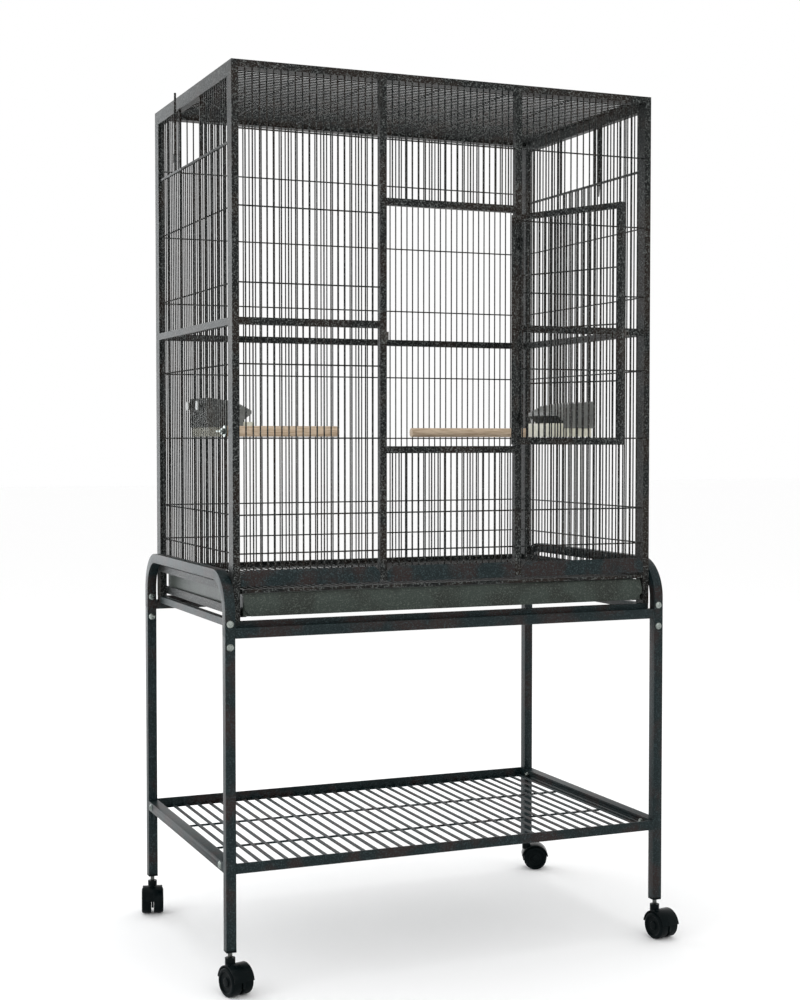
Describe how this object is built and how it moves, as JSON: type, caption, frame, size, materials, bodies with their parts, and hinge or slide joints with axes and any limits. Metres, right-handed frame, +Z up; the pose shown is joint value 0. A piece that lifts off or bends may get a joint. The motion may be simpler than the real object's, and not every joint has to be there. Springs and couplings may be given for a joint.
{
  "type": "bird cage on stand",
  "caption": "Tall wire flight cage for small birds on a wheeled tube stand, with an open front door, side nest doors, feeders, perches, slide-out grille and tray, and a shelf.",
  "frame": {"origin": "on the floor under the middle of the stand and cage body", "axes": "+X right as seen from the front, +Y to the back, -Y the side with the main door, +Z up"},
  "size_m": [0.9475, 0.7903, 1.6],
  "materials": {
    "cage_coat": "dark hammertone powder coat with a grey-green fleck",
    "grille_coat": "dark powder-coated wire",
    "stand_coat": "dark hammertone powder coat with a grey-green and brown fleck",
    "tray_coat": "dark grey-green powder-coated sheet",
    "zinc": "bright zinc",
    "latch_metal": "dark powder coat",
    "smoky_plastic": "smoky grey moulded plastic",
    "cup_plastic": "pale translucent moulded plastic",
    "perch_wood": "plain turned dowel",
    "wheel_plastic": "black nylon",
    "caster_plastic": "black moulded nylon"
  },
  "bodies": {
    "cage_and_stand": {"arch_left": "stand_coat", "arch_right": "stand_coat", "back_panel": "cage_coat", "cage_base_frame": "stand_coat", "caster_plugs": "caster_plastic", "door_hinge_fixed": "cage_coat", "door_hinge_pins": "zinc", "feeder_cup_left": "cup_plastic", "feeder_cup_right": "cup_plastic", "feeder_hood_left": "smoky_plastic", "feeder_hood_right": "smoky_plastic", "front_panel": "cage_coat", "grille_runners": "cage_coat", "guard_strips": "cage_coat", "latch_keeper": "latch_metal", "leg_back_left": "stand_coat", "leg_back_right": "stand_coat", "leg_front_left": "stand_coat", "leg_front_right": "stand_coat", "leg_screws": "zinc", "nest_hinge_lugs": "cage_coat", "nest_hinge_pins": "zinc", "perch_fixings": "zinc", "perch_left": "perch_wood", "perch_right": "perch_wood", "roof_panel": "grille_coat", "shelf_bolts": "zinc", "shelf_frame": "stand_coat", "shelf_grille": "stand_coat", "shelf_gussets": "stand_coat", "shelf_nuts": "zinc", "shelf_side_rails": "stand_coat", "side_panel_left": "cage_coat", "side_panel_right": "cage_coat", "stand_cross_rails": "stand_coat", "stand_ledges": "stand_coat", "tray_runners": "cage_coat", "tube_connectors": "stand_coat"},
    "main_door": {"main_door": "cage_coat", "door_hinge_moving": "cage_coat", "latch_bracket": "latch_metal"},
    "latch_bolt": {"latch_bolt": "latch_metal"},
    "nest_door_left": {"nest_door_left": "cage_coat"},
    "nest_door_right": {"nest_door_right": "cage_coat"},
    "floor_grille": {"floor_grille": "grille_coat"},
    "tray": {"tray": "tray_coat"},
    "caster_front_left": {"caster_front_left_hood": "caster_plastic", "caster_front_left_stem_axle": "zinc"},
    "caster_front_left_wheels": {"caster_front_left_wheels": "wheel_plastic"},
    "caster_front_right": {"caster_front_right_hood": "caster_plastic", "caster_front_right_stem_axle": "zinc"},
    "caster_front_right_wheels": {"caster_front_right_wheels": "wheel_plastic"},
    "caster_back_left": {"caster_back_left_hood": "caster_plastic", "caster_back_left_stem_axle": "zinc"},
    "caster_back_left_wheels": {"caster_back_left_wheels": "wheel_plastic"},
    "caster_back_right": {"caster_back_right_hood": "caster_plastic", "caster_back_right_stem_axle": "zinc"},
    "caster_back_right_wheels": {"caster_back_right_wheels": "wheel_plastic"}
  },
  "joints": [
    {"name": "main_door_hinge", "type": "hinge", "parent": "cage_and_stand", "child": "main_door", "pos_m": [0.12577, -0.2635, 1.15225], "axis": [0, 0, 1], "range_deg": [-113, 57]},
    {"name": "latch_slide", "type": "slide", "parent": "main_door", "child": "latch_bolt", "axis": [0.3907, -0.9205, 0], "range_m": [0, 0.016]},
    {"name": "nest_door_left_hinge", "type": "hinge", "parent": "cage_and_stand", "child": "nest_door_left", "pos_m": [-0.4165, 0.095, 1.526], "axis": [0, 0, -1], "range_deg": [-15, 135]},
    {"name": "nest_door_right_hinge", "type": "hinge", "parent": "cage_and_stand", "child": "nest_door_right", "pos_m": [0.4165, -0.058, 1.526], "axis": [0, 0, -1], "range_deg": [-29, 121]},
    {"name": "grille_slide", "type": "slide", "parent": "cage_and_stand", "child": "floor_grille", "axis": [0, -1, 0], "range_m": [0, 0.41]},
    {"name": "tray_slide", "type": "slide", "parent": "cage_and_stand", "child": "tray", "axis": [0, -1, 0], "range_m": [0, 0.46]},
    {"name": "caster_front_left_swivel", "type": "hinge", "parent": "cage_and_stand", "child": "caster_front_left", "pos_m": [-0.4245, -0.2696, 0.06], "axis": [0, 0, 1], "continuous": true},
    {"name": "caster_front_left_roll", "type": "hinge", "parent": "caster_front_left", "child": "caster_front_left_wheels", "pos_m": [-0.41958, -0.28795, 0.025], "axis": [0.9659, 0.2588, 0], "continuous": true},
    {"name": "caster_front_right_swivel", "type": "hinge", "parent": "cage_and_stand", "child": "caster_front_right", "pos_m": [0.4245, -0.2696, 0.06], "axis": [0, 0, 1], "continuous": true},
    {"name": "caster_front_right_roll", "type": "hinge", "parent": "caster_front_right", "child": "caster_front_right_wheels", "pos_m": [0.4278, -0.28831, 0.025], "axis": [0.9848, 0.1736, 0], "continuous": true},
    {"name": "caster_back_left_swivel", "type": "hinge", "parent": "cage_and_stand", "child": "caster_back_left", "pos_m": [-0.4245, 0.2696, 0.06], "axis": [0, 0, 1], "continuous": true},
    {"name": "caster_back_left_roll", "type": "hinge", "parent": "caster_back_left", "child": "caster_back_left_wheels", "pos_m": [-0.4291, 0.25116, 0.025], "axis": [0.9703, -0.2419, 0], "continuous": true},
    {"name": "caster_back_right_swivel", "type": "hinge", "parent": "cage_and_stand", "child": "caster_back_right", "pos_m": [0.4245, 0.2696, 0.06], "axis": [0, 0, 1], "continuous": true},
    {"name": "caster_back_right_roll", "type": "hinge", "parent": "caster_back_right", "child": "caster_back_right_wheels", "pos_m": [0.44186, 0.26187, 0.025], "axis": [0.4067, 0.9135, 0], "continuous": true}
  ]
}
